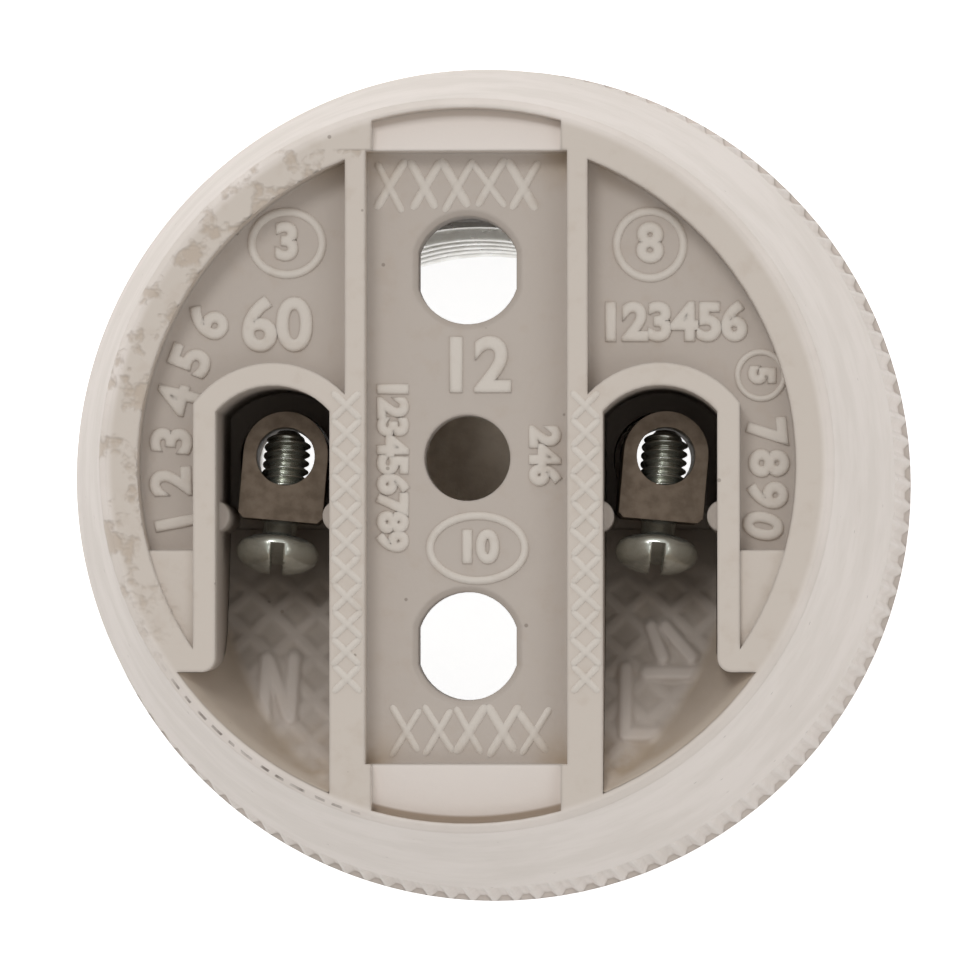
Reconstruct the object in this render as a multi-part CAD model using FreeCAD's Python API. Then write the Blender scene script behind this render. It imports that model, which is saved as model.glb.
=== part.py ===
import FreeCAD, Part
import math
import os

# Porcelain screw-in lamp holder, seen and used from both ends.
# Millimetres. The mouth for the lamp is at z = 0, the wiring side at z = HEIGHT,
# the axis of the screw shell is the z axis. The two fixing slots lie along y.

os.makedirs("parts", exist_ok=True)
V = FreeCAD.Vector
Z_AXIS = V(0, 0, 1)

# ---- porcelain body, outside ----
HEIGHT = 46.0
RIM_R = 18.0            # outer radius of the wiring-side rim
RIM_EDGE = 0.3          # worn edge of that rim
BELT_Z = 18.0           # where the fluted grip begins
BELT_R = 21.8
MOUTH_R = 23.2
MOUTH_EDGE = 1.0
FLUTES = 120
FLUTE_TOP_W = 0.98
FLUTE_LOW_W = 0.36
FLUTE_DEPTH = 0.30
FLUTE_LOW_Z = 1.6

# ---- screw shell, round thread of 27 mm ----
THREAD_PITCH = 3.629
THREAD_MEAN_R = 12.80   # inside face of the sheet
THREAD_AMP = 0.54
SHEET = 0.30
SHELL_Z0 = 6.9          # centre of the rolled lip
SHELL_FADE = 1.3
SHELL_PLAIN = 0.8
SHELL_SECTORS = 30      # the wave is built of flat facets, this many round the shell
SHELL_ROWS = 6          # and this many to a pitch
LIP_R = 0.42
LIP_STEPS = 7
FLANGE_T = 0.45
FLANGE_FIT = 0.2        # between the flange and the cavity wall
LEG_W = 5.0
LEG_T = 0.45
LEG_INSET = 0.2
LEG_OUT = THREAD_MEAN_R - LEG_INSET
LEG_IN = LEG_OUT - LEG_T
STRIP_T = 0.5           # thickness of the contact strips

# ---- lamp cavity, round the shell ----
SHELL_ROOM = 0.76       # between the thread's crests and the cavity wall
CAVITY_R = THREAD_MEAN_R + THREAD_AMP + SHEET + SHELL_ROOM
FLANGE_R = CAVITY_R - FLANGE_FIT
MOUTH_STEP = 1.2
MOUTH_BORE_R = CAVITY_R + MOUTH_STEP
MOUTH_BORE_DEPTH = 5.5
MOUTH_LEAD = 0.8
INNER_R = THREAD_MEAN_R + SHEET
KEY_W = 3.0             # rib that keeps the shell from turning
KEY_H = 0.55
KEY_R = CAVITY_R - KEY_H
KEY_LEN = 4.0
KEY_ANGLE = 90.0
NOTCH_FIT = 0.15

# ---- wiring side: every depth is counted down from the rim ----
PATTERN_Y = 0.4         # the pressed pattern sits a little off the axis
FACE_DEPTH = 1.8        # depth of the channel and of the two lettering pockets
FACE_Z = HEIGHT - FACE_DEPTH
RIM_W = 1.85
RIM_IN = RIM_R - RIM_W
CHANNEL_HX = 4.95
CHANNEL_HY = 15.05
RIB_W = 1.0             # rib beside a pocket
TERM_INSET = 3.35       # the terminals stand this far inside the shell's wall
TERM_X = THREAD_MEAN_R - TERM_INSET
WELL_W = 5.6
WELL_OFF = 0.05         # the wells sit a little outside their terminals
WELL_IN = TERM_X + WELL_OFF - WELL_W / 2
WELL_OUT = WELL_IN + WELL_W
WELL_CROWN_Y = 3.92
WELL_CROWN_R = 3.72
ARCH_WALL = 1.1
WELL_DEPTH = 10.4
WELL_Z = HEIGHT - WELL_DEPTH    # upper side of the web
WEB_T = 3.1
FLOOR_Z = WELL_Z - WEB_T
STEP_H = 4.9            # from the shell's ledge up to the cavity floor
LEDGE_Z = FLOOR_Z - STEP_H
LAND_TOP_Y = -4.17
LAND_LOW_Y = -10.14
LAND_DROP = 0.4
LAND_CORNER = 0.7
RAMP_RIM_W = 0.55       # what is left of the rim beside the ramp
RAMP_ROOM_R = RIM_R - RAMP_RIM_W
RAMP_ROOM_DRAFT = 0.25  # the wall over the ramp leans in by this much a millimetre
RAMP_Y0 = -6.6          # the screwdriver ramp starts here on the well floor
RAMP_Y1 = -16.2
RAMP_DROP = 0.4
RAMP_Z1 = HEIGHT - RAMP_DROP
NUB_Y = -2.45
NUB_R = 0.8
NUB_OUT = 0.5
NUB_DROP = 2.8
NUB_TOP = HEIGHT - NUB_DROP
SCOOP_HX = 4.65
SCOOP_EDGE = 0.45       # what is left of the rim outside a scoop
SCOOP_R = RIM_R - SCOOP_EDGE
SCOOP_IN_DROP = 0.55
SCOOP_OUT_DROP = 1.25

# ---- hollow behind the channel, for the heads of the fixing screws ----
RECESS_HX = 5.2
RECESS_HY = 12.35
CHANNEL_T = 2.8         # thickness of the channel floor
RECESS_Z = FACE_Z - CHANNEL_T
RECESS_CORNER = 0.8

# ---- fixing slots and centre hole ----
SLOT_PITCH = 18.55
SLOT_HALF_W = 2.42
SLOT_LEN = 5.35
SLOT_END_R = 2.55
SLOT_CHAMFER = 0.28
CENTRE_HOLE_R = 2.12

# ---- terminals ----
TERM_Y = 0.55
TERM_LEAN = 2.4         # both pillars lean this much towards +x, as riveted
TERM_TURN = 5.0         # and are turned this much clockwise seen from the wiring side
PILLAR_HW = 2.1
PILLAR_RISE = 0.13      # centre of the round top above the wire hole
PILLAR_DOWN = 3.2
PILLAR_CHAMFER = 0.25
PILLAR_H = 6.2
PILLAR_TOP = WELL_Z + PILLAR_H
WIRE_HOLE_R = 1.45
STEM_R = 2.05
STEM_BORE_R = 1.62
STEM_ROOM = 0.3
STEM_HOLE_R = STEM_R + STEM_ROOM
STEM_UP = 0.6           # length of stem inside the pillar's foot
STEM_FIT = 0.03
STEM_FLARE_W = 0.4
STEM_FLARE_R = STEM_R + STEM_FLARE_W
STEM_FLARE_T = 0.45
LUG_REACH = 2.5         # of a strip beyond the stem's axis
LUG_END = TERM_X - LUG_REACH

# ---- terminal screws, M2.5 with a domed slotted head ----
SCREW_TILT = 15.0       # heads stand up towards the wiring side
SCREW_UP = 3.3          # where the screw axis crosses the wire hole, above the web
SCREW_Z = WELL_Z + SCREW_UP
SCREW_R = 1.2
SCREW_FIT = 0.03
SCREW_TIP = 1.28        # tip above the wire hole's centre
SCREW_TIP_LEN = 0.75
SCREW_THREAD_END = 3.35
NECK_R = 0.9
NECK_LEN = 0.65
HEAD_START = SCREW_THREAD_END + NECK_LEN
HEAD_R = 2.15
HEAD_LEN = 1.9
HEAD_SHOULDER = 0.5
HEAD_DOME = 0.6
HEAD_TOP_R = 1.3
TIP_R = 0.55
HEAD_SLOT_W = 0.6
HEAD_SLOT_D = 0.9

# ---- centre contact leaf ----
LEAF_W = 6.0
LEAF_Y_OFF = 0.2
LEAF_REACH = 2.55
LEAF_X_END = TERM_X + LEAF_REACH
LEAF_X_BEND = 5.6
LEAF_X_HEAD = 2.6
LEAF_X_TIP = -3.2
LEAF_DROP = 3.9
LEAF_BEND_R = 0.6
BUTTON_R = 2.2
BUTTON_TOP_R = 1.5
BUTTON_T = 0.95
BUTTON_EDGE = 0.3


def box(x0, x1, y0, y1, z0, z1):
    return Part.makeBox(x1 - x0, y1 - y0, z1 - z0, V(x0, y0, z0))


def rod(r, z0, z1, x=0.0, y=0.0):
    return Part.makeCylinder(r, z1 - z0, V(x, y, z0), Z_AXIS)


def line(a, b):
    return Part.makeLine(V(*a), V(*b))


def arc(a, m, b):
    return Part.Arc(V(*a), V(*m), V(*b)).toShape()


def chain(points):
    """Straight edges round a closed outline."""
    return [line(a, b) for a, b in zip(points, points[1:] + points[:1])]


def prism(edges, z0, z1):
    wire = Part.Wire(Part.__sortEdges__(edges))
    face = Part.Face(wire)
    face.translate(V(0, 0, z0 - wire.BoundBox.ZMin))
    return face.extrude(V(0, 0, z1 - z0))


def revolve(edges):
    wire = Part.Wire(Part.__sortEdges__(edges))
    return Part.Face(wire).revolve(V(0, 0, 0), Z_AXIS, 360)


def save(shape, name):
    if len(shape.Solids) == 1:
        shape = shape.Solids[0]
    shape.exportStep("parts/" + name + ".step")


# ------------------------------------------------------------------ porcelain body
def body_outside():
    flank = (BELT_R - RIM_R) / (HEIGHT - BELT_Z)
    rim_low = (RIM_R + flank * RIM_EDGE, 0, HEIGHT - RIM_EDGE)
    e = MOUTH_EDGE
    k = e * (1 - math.sqrt(0.5))
    return revolve(chain([
        (0, 0, 0), (MOUTH_R - e, 0, 0), (MOUTH_R - k, 0, k), (MOUTH_R, 0, e),
        (BELT_R, 0, BELT_Z), rim_low, (RIM_R - RIM_EDGE, 0, HEIGHT), (0, 0, HEIGHT),
    ]))


def flute_cutters():
    """Grooves of trapezoid section that run down the grip, parallel to its taper."""
    drop = BELT_Z - FLUTE_LOW_Z
    spread = drop * (MOUTH_R - BELT_R) / (BELT_Z - MOUTH_EDGE)
    low = FLUTE_LOW_W / 2
    top = FLUTE_TOP_W / 2
    slope = (top - low) / FLUTE_DEPTH
    wide = low + slope * 2 * FLUTE_DEPTH
    r_in = BELT_R - FLUTE_DEPTH
    r_out = BELT_R + FLUTE_DEPTH
    end = Part.Face(Part.Wire(chain([
        (r_in, -low, BELT_Z), (r_out, -wide, BELT_Z), (r_out, wide, BELT_Z), (r_in, low, BELT_Z),
    ])))
    first = end.extrude(V(spread, 0, -drop))
    tools = []
    for i in range(FLUTES):
        c = first.copy()
        c.rotate(V(0, 0, 0), Z_AXIS, 360.0 * (i + 0.5) / FLUTES)
        tools.append(c)
    return tools


def arch_outline(grow, low_y):
    """Outline of a well in x > 0: straight sides under a shallow arch."""
    x0 = WELL_IN - grow
    x1 = WELL_OUT + grow
    r = WELL_CROWN_R + grow
    half = (x1 - x0) / 2
    mid = (x0 + x1) / 2
    crown = WELL_CROWN_Y + grow
    shoulder = crown - r + math.sqrt(r * r - half * half)
    return [
        line((x0, low_y, 0), (x0, shoulder, 0)),
        arc((x0, shoulder, 0), (mid, crown, 0), (x1, shoulder, 0)),
        line((x1, shoulder, 0), (x1, low_y, 0)),
        line((x1, low_y, 0), (x0, low_y, 0)),
    ]


def pocket():
    """Lettering pocket in x > 0, between the rim, the rib and the arch wall."""
    side = box(CHANNEL_HX + RIB_W, RIM_IN + 1, LAND_TOP_Y, RIM_IN + 1, FACE_Z, HEIGHT + 1)
    round_in = rod(RIM_IN, FACE_Z, HEIGHT + 1)
    arch = prism(arch_outline(ARCH_WALL, LAND_TOP_Y - 1), FACE_Z - 1, HEIGHT + 2)
    return side.common(round_in).cut(arch)


def land():
    """Shallow drop of the land beside a well, under the pocket."""
    strip = box(WELL_OUT + ARCH_WALL, RIM_IN + 1, LAND_LOW_Y - 0.01, LAND_TOP_Y,
                HEIGHT - LAND_DROP, HEIGHT + 1)
    return strip.common(rod(RIM_IN, HEIGHT - 1, HEIGHT + 2))


def well():
    """Deep well in x > 0 with the screwdriver ramp at its lower end."""
    shaft = prism(arch_outline(0, LAND_LOW_Y - 1), WELL_Z, HEIGHT + 1)
    low = box(WELL_IN, RAMP_ROOM_R, -RAMP_ROOM_R, LAND_LOW_Y, WELL_Z, HEIGHT)
    lean = (HEIGHT - WELL_Z) * RAMP_ROOM_DRAFT
    low = low.common(Part.makeCone(RAMP_ROOM_R - lean, RAMP_ROOM_R, HEIGHT - WELL_Z,
                                   V(0, 0, WELL_Z), Z_AXIS))
    c = LAND_CORNER
    k = c * (1 - math.sqrt(0.5))
    x = WELL_OUT
    y = LAND_LOW_Y
    corner = prism([
        line((x, y + c, 0), (x - k, y + c, 0)),
        line((x - k, y + c, 0), (x - k, y - k, 0)),
        line((x - k, y - k, 0), (x + c, y - k, 0)),
        line((x + c, y - k, 0), (x + c, y, 0)),
        arc((x + c, y, 0), (x + k, y + k, 0), (x, y + c, 0)),
    ], WELL_Z, HEIGHT + 1)
    room = shaft.fuse([low, corner]).removeSplitter()
    far = -HEIGHT
    rise = (RAMP_Z1 - WELL_Z) / (RAMP_Y0 - RAMP_Y1)
    ramp = Part.Face(Part.Wire(chain([
        (0, RAMP_Y0, WELL_Z), (0, far, WELL_Z + rise * (RAMP_Y0 - far)),
        (0, far, WELL_Z - 1), (0, RAMP_Y0, WELL_Z - 1),
    ]))).extrude(V(HEIGHT, 0, 0))
    room = room.cut(ramp)
    wall_in = rod(NUB_R, WELL_Z - 1, NUB_TOP, WELL_IN + NUB_OUT - NUB_R, NUB_Y)
    wall_out = rod(NUB_R, WELL_Z - 1, NUB_TOP, WELL_OUT - NUB_OUT + NUB_R, NUB_Y)
    return room.cut([wall_in, wall_out])


def scoop(sign):
    """Notch in the rim at one end of the channel, sloping down outwards."""
    y0 = CHANNEL_HY
    wedge = Part.Face(Part.makePolygon([
        V(-SCOOP_HX, y0, HEIGHT - SCOOP_IN_DROP),
        V(-SCOOP_HX, SCOOP_R + 1, HEIGHT - SCOOP_OUT_DROP),
        V(-SCOOP_HX, SCOOP_R + 1, HEIGHT + 1),
        V(-SCOOP_HX, y0, HEIGHT + 1),
        V(-SCOOP_HX, y0, HEIGHT - SCOOP_IN_DROP),
    ])).extrude(V(2 * SCOOP_HX, 0, 0))
    if sign < 0:
        wedge.rotate(V(0, 0, 0), Z_AXIS, 180)
    wedge.translate(V(0, PATTERN_Y, 0))
    return wedge.common(rod(SCOOP_R, FACE_Z, HEIGHT + 1))


def slot_wire(y, z, grow):
    hw = SLOT_HALF_W + grow
    r = SLOT_END_R + grow
    d = SLOT_LEN / 2 - SLOT_END_R
    h = d + math.sqrt(r * r - hw * hw)
    top = d + r
    return Part.Wire([
        line((-hw, y - h, z), (-hw, y + h, z)),
        arc((-hw, y + h, z), (0, y + top, z), (hw, y + h, z)),
        line((hw, y + h, z), (hw, y - h, z)),
        arc((hw, y - h, z), (0, y - top, z), (-hw, y - h, z)),
    ])


def slot(y):
    straight = Part.Face(slot_wire(y, RECESS_Z - 1, 0)).extrude(V(0, 0, FACE_Z - RECESS_Z + 2))
    c = SLOT_CHAMFER
    mouth = Part.makeLoft([slot_wire(y, FACE_Z - c, 0), slot_wire(y, FACE_Z + 0.05, c + 0.05)],
                          True, True)
    return straight.fuse(mouth)


def make_body():
    b = body_outside()
    b = b.cut(flute_cutters())
    cavity = rod(MOUTH_BORE_R, -1, MOUTH_BORE_DEPTH)
    lead = Part.makeCone(MOUTH_BORE_R + MOUTH_LEAD, MOUTH_BORE_R, MOUTH_LEAD, V(0, 0, 0), Z_AXIS)
    cavity = cavity.fuse([lead, rod(CAVITY_R, 0, LEDGE_Z), rod(INNER_R, 0, FLOOR_Z)])
    key = box(KEY_R, CAVITY_R + 1, -KEY_W / 2, KEY_W / 2, LEDGE_Z - KEY_LEN, LEDGE_Z)
    key.rotate(V(0, 0, 0), Z_AXIS, KEY_ANGLE)
    cavity = cavity.cut(key)
    recess = box(-RECESS_HX, RECESS_HX, PATTERN_Y - RECESS_HY, PATTERN_Y + RECESS_HY,
                 FLOOR_Z - 1, RECESS_Z)
    upright = [e for e in recess.Edges if abs(e.Vertexes[0].Z - e.Vertexes[1].Z) > 1]
    recess = recess.makeFillet(RECESS_CORNER, upright)
    tools = [cavity, recess]
    channel = box(-CHANNEL_HX, CHANNEL_HX, PATTERN_Y - CHANNEL_HY, PATTERN_Y + CHANNEL_HY,
                  FACE_Z, HEIGHT + 1)
    tools.append(channel)
    for turn in (0, 1):
        for feature in (pocket(), land(), well()):
            if turn:
                feature = feature.mirror(V(0, 0, 0), V(1, 0, 0))
            tools.append(feature)
        x = -TERM_X if turn else TERM_X
        tools.append(rod(STEM_HOLE_R, FLOOR_Z - 1, WELL_Z + 1, x, TERM_Y))
    tools.append(scoop(1))
    tools.append(scoop(-1))
    tools.append(slot(PATTERN_Y + SLOT_PITCH / 2))
    tools.append(slot(PATTERN_Y - SLOT_PITCH / 2))
    tools.append(rod(CENTRE_HOLE_R, RECESS_Z - 1, FACE_Z + 1, 0, PATTERN_Y))
    return b.cut(tools).removeSplitter()


# ------------------------------------------------------------------ terminals
def place_terminal(shape, side):
    """From the pillar's own frame (wire hole on z, screw towards -y) to its well."""
    shape.rotate(V(0, 0, 0), Z_AXIS, -TERM_TURN)
    shape.rotate(V(0, 0, (FLOOR_Z + WELL_Z) / 2), V(0, 1, 0), TERM_LEAN)
    shape.translate(V(side * TERM_X, TERM_Y, 0))
    return shape


def screw_frame(shape):
    """Stand a shape drawn along -z (head down) on the tilted screw axis."""
    shape.rotate(V(0, 0, 0), V(1, 0, 0), -90)
    shape.rotate(V(0, 0, 0), V(1, 0, 0), -SCREW_TILT)
    shape.translate(V(0, 0, SCREW_Z))
    return shape


def make_terminal(side):
    hw = PILLAR_HW
    low = -PILLAR_DOWN
    c = PILLAR_CHAMFER
    pillar = prism([
        arc((hw, PILLAR_RISE, 0), (0, PILLAR_RISE + hw, 0), (-hw, PILLAR_RISE, 0)),
        line((-hw, PILLAR_RISE, 0), (-hw, low + c, 0)),
        line((-hw, low + c, 0), (-hw + c, low, 0)),
        line((-hw + c, low, 0), (hw - c, low, 0)),
        line((hw - c, low, 0), (hw, low + c, 0)),
        line((hw, low + c, 0), (hw, PILLAR_RISE, 0)),
    ], WELL_Z - 1, PILLAR_TOP)
    pillar = place_terminal(pillar, side)
    pillar = pillar.cut(rod(BELT_R, WELL_Z - PILLAR_DOWN, WELL_Z))
    x = side * TERM_X
    z_flare = FLOOR_Z - STRIP_T - STEM_FLARE_T
    stem = rod(STEM_R, z_flare, WELL_Z + STEM_UP, x, TERM_Y)
    flare = Part.makeCone(STEM_R, STEM_FLARE_R, STEM_FLARE_T, V(x, TERM_Y, z_flare), Z_AXIS)
    shape = pillar.fuse([stem, flare])
    bore = rod(STEM_BORE_R, z_flare - 1, WELL_Z + STEM_UP, x, TERM_Y)
    wire = place_terminal(rod(WIRE_HOLE_R, WELL_Z, PILLAR_TOP + 1), side)
    tap = screw_frame(rod(SCREW_R + SCREW_FIT, -PILLAR_DOWN - 2, 0))
    tap = place_terminal(tap, side)
    return shape.cut([bore, wire, tap]).removeSplitter()


def make_screw(side):
    tip = SCREW_TIP
    h0 = -HEAD_START
    h1 = -HEAD_START - HEAD_LEN
    end = -SCREW_THREAD_END
    screw = revolve(chain([
        (0, 0, tip), (TIP_R, 0, tip), (SCREW_R, 0, tip - SCREW_TIP_LEN), (SCREW_R, 0, end),
        (NECK_R, 0, end), (NECK_R, 0, h0), (HEAD_R - HEAD_SHOULDER, 0, h0),
        (HEAD_R, 0, h0 - HEAD_SHOULDER), (HEAD_R, 0, h1 + HEAD_DOME), (HEAD_TOP_R, 0, h1), (0, 0, h1),
    ]))
    # the slot stands upright in the well, across the head
    groove = box(-HEAD_SLOT_W / 2, HEAD_SLOT_W / 2, -HEAD_R - 1, HEAD_R + 1, h1 - 1, h1 + HEAD_SLOT_D)
    screw = screw.cut(groove)
    return place_terminal(screw_frame(screw), side)


# ------------------------------------------------------------------ screw shell
def thread_amp(z):
    """Height of the wave: nought beside the lip and the flange, then rising smoothly."""
    up = (z - SHELL_Z0 - SHELL_PLAIN) / SHELL_FADE
    down = (LEDGE_Z - FLANGE_T - SHELL_PLAIN - z) / SHELL_FADE
    f = max(0.0, min(1.0, up, down))
    return THREAD_AMP * f * f * (3 - 2 * f)


def shell_section():
    """(radius, height) of the sheet's corners before the wave: out, flange, in, lip."""
    mid = THREAD_MEAN_R + SHEET / 2
    start = math.asin(SHEET / 2 / LIP_R)
    z_low = SHELL_Z0 + LIP_R * math.cos(start)
    z_high = LEDGE_Z - FLANGE_T
    rows = round((z_high - z_low) / THREAD_PITCH * SHELL_ROWS)
    heights = [z_low + (z_high - z_low) * j / rows for j in range(rows + 1)]
    outside = [(THREAD_MEAN_R + SHEET, z) for z in heights]
    flange = [(FLANGE_R, z_high), (FLANGE_R, LEDGE_Z), (THREAD_MEAN_R, LEDGE_Z)]
    inside = [(THREAD_MEAN_R, z) for z in reversed(heights)]
    lip = []
    for j in range(1, LIP_STEPS):
        t = start + (2 * math.pi - 2 * start) * j / LIP_STEPS
        lip.append((mid - LIP_R * math.sin(t), SHELL_Z0 + LIP_R * math.cos(t)))
    return outside + flange + inside + lip


def make_sheet():
    """Rolled round thread: the radius swings once per pitch and once per turn."""
    section = shell_section()
    turn = 2 * math.pi / SHELL_SECTORS
    points = []
    for i in range(SHELL_SECTORS):
        for r, z in section:
            phase = 2 * math.pi * z / THREAD_PITCH - i * turn
            r += thread_amp(z) * math.cos(phase)
            points.append(V(r * math.cos(i * turn), r * math.sin(i * turn), z))
    n = len(section)
    facets = []
    for i in range(SHELL_SECTORS):
        here = i * n
        there = (i + 1) % SHELL_SECTORS * n
        for j in range(n):
            k = (j + 1) % n
            facets.append((here + j, there + j, there + k))
            facets.append((here + j, there + k, here + k))
    skin = Part.Shape()
    skin.makeShapeFromMesh((points, facets), 1e-4)
    sheet = Part.Solid(skin.Shells[0])
    if sheet.Volume < 0:
        sheet.reverse()
    return sheet


def make_shell():
    z_low = LEDGE_Z - FLANGE_T
    half = KEY_W / 2 + NOTCH_FIT
    notch = box(KEY_R - NOTCH_FIT, FLANGE_R + 1, -half, half, z_low - 1, LEDGE_Z + 1)
    notch.rotate(V(0, 0, 0), Z_AXIS, KEY_ANGLE)
    y0 = TERM_Y - LEG_W / 2
    y1 = TERM_Y + LEG_W / 2
    lug_z = FLOOR_Z - STRIP_T
    tab = box(-THREAD_MEAN_R - SHEET, -LEG_IN, y0, y1, z_low, LEDGE_Z)
    leg = box(-LEG_OUT, -LEG_IN, y0, y1, z_low, FLOOR_Z)
    lug = box(-LEG_OUT, -LUG_END, y0, y1, lug_z, FLOOR_Z)
    hole = rod(STEM_R + STEM_FIT, lug_z - 1, FLOOR_Z + 1, -TERM_X, TERM_Y)
    arm = tab.fuse([leg, lug]).removeSplitter().cut(hole)
    return make_sheet().cut(notch).fuse(arm)


# ------------------------------------------------------------------ centre contact
def make_leaf():
    """Flat strip under the right terminal, bent down and across the axis."""
    t = STRIP_T
    zt = FLOOR_Z
    zh = FLOOR_Z - LEAF_DROP
    xb = LEAF_X_BEND
    xh = LEAF_X_HEAD
    slant = math.atan2(LEAF_DROP, xb - xh)
    shift = t * math.tan(slant / 2)     # keeps the slanted part as thick as the rest
    strip = Part.Face(Part.Wire(chain([
        (LEAF_X_END, 0, zt), (xb, 0, zt), (xh, 0, zh), (LEAF_X_TIP, 0, zh),
        (LEAF_X_TIP, 0, zh - t), (xh + shift, 0, zh - t), (xb + shift, 0, zt - t),
        (LEAF_X_END, 0, zt - t),
    ]))).extrude(V(0, LEAF_W, 0))
    strip.translate(V(0, TERM_Y - LEAF_Y_OFF - LEAF_W / 2, 0))
    bends = [e for e in strip.Edges
             if abs(e.Length - LEAF_W) < 1e-6 and xh - 1 < e.BoundBox.Center.x < xb + 1]
    strip = strip.makeFillet(LEAF_BEND_R, bends)
    hole = rod(STEM_R + STEM_FIT, zt - t - 1, zt + 1, TERM_X, TERM_Y)
    return strip.cut(hole)


def make_button():
    z1 = FLOOR_Z - LEAF_DROP - STRIP_T
    z0 = z1 - BUTTON_T
    return revolve(chain([
        (0, 0, z1), (BUTTON_R, 0, z1), (BUTTON_R, 0, z1 - BUTTON_EDGE),
        (BUTTON_TOP_R, 0, z0), (0, 0, z0),
    ]))


save(make_body(), "porcelain_body")
save(make_shell(), "screw_shell")
save(make_leaf(), "centre_contact")
save(make_button(), "contact_button")
for name, side in (("n", -1), ("l", 1)):
    save(make_terminal(side), "terminal_" + name)
    save(make_screw(side), "screw_" + name)
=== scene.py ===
import bpy
import math
import random
from mathutils import Matrix, Vector


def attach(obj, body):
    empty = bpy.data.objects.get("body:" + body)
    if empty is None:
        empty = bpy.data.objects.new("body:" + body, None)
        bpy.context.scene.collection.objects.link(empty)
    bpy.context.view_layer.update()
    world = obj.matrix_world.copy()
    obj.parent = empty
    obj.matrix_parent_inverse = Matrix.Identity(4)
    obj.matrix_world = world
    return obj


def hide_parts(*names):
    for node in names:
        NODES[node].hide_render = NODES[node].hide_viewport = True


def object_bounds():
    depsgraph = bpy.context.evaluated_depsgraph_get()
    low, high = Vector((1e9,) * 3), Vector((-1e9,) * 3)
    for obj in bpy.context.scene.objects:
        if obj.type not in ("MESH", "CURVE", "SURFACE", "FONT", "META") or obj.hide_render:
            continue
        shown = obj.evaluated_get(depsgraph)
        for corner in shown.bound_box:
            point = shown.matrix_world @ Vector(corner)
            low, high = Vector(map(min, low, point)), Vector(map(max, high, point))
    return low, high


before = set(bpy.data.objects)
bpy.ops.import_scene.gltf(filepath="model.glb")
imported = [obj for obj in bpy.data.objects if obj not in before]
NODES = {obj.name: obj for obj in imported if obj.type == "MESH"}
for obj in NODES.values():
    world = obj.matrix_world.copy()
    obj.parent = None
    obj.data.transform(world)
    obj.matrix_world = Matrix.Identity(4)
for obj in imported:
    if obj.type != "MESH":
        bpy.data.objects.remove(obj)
cad_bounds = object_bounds()

# Lengths below are millimetres and become metres where a mesh or a place is made.
MM = 0.001
UP = Vector((0, 0, 1))
TURN = 2 * math.pi
QUARTER = math.pi / 2
BOX_FACES = ((0, 1, 3, 2), (4, 6, 7, 5), (0, 4, 5, 1), (2, 3, 7, 6), (0, 2, 6, 4), (1, 5, 7, 3))

# ------------------------------------------------------------------ sizes shared with the solids
HEIGHT = cad_bounds[1].z / MM
FACE_Z = HEIGHT - 1.8           # floor of the channel and the pockets
PATTERN_Y = 0.4                 # middle of the channel's pattern
RIB_MID_X = 5.85                # middle of the wide ribs beside the wells
TERM_X = 9.45                   # middle of the right terminal; the left one mirrors it
TERM_Y = 0.55
TERM_LEAN = math.radians(2.4)
TERM_TURN = math.radians(5.0)
TERM_PIVOT_Z = 34.05
SCREW_Z = 38.9
SCREW_TILT = math.radians(15.0)

# ------------------------------------------------------------------ camera
CAMERA_AT = Vector((11.5, -8.0, 366.0))
LOOKS_AT = Vector((0.93, -1.0, 46.0))
FIELD_WIDTH = 47.5              # what the picture spans at the wiring-side rim
SENSOR_WIDTH = 36.0
CLIP_START = 0.01


def make_camera():
    data = bpy.data.cameras.new("camera")
    data.sensor_fit = "HORIZONTAL"
    data.sensor_width = SENSOR_WIDTH
    away = CAMERA_AT - LOOKS_AT
    data.lens = SENSOR_WIDTH * away.length / FIELD_WIDTH
    data.clip_start = CLIP_START
    camera = bpy.data.objects.new("camera", data)
    back = away.normalized()
    right = Vector((0, 1, 0)).cross(back).normalized()
    up = back.cross(right)
    turn = Matrix((right, up, back)).transposed().to_4x4()
    camera.matrix_world = Matrix.Translation(CAMERA_AT * MM) @ turn
    bpy.context.scene.collection.objects.link(camera)
    bpy.context.scene.camera = camera


make_camera()


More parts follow.
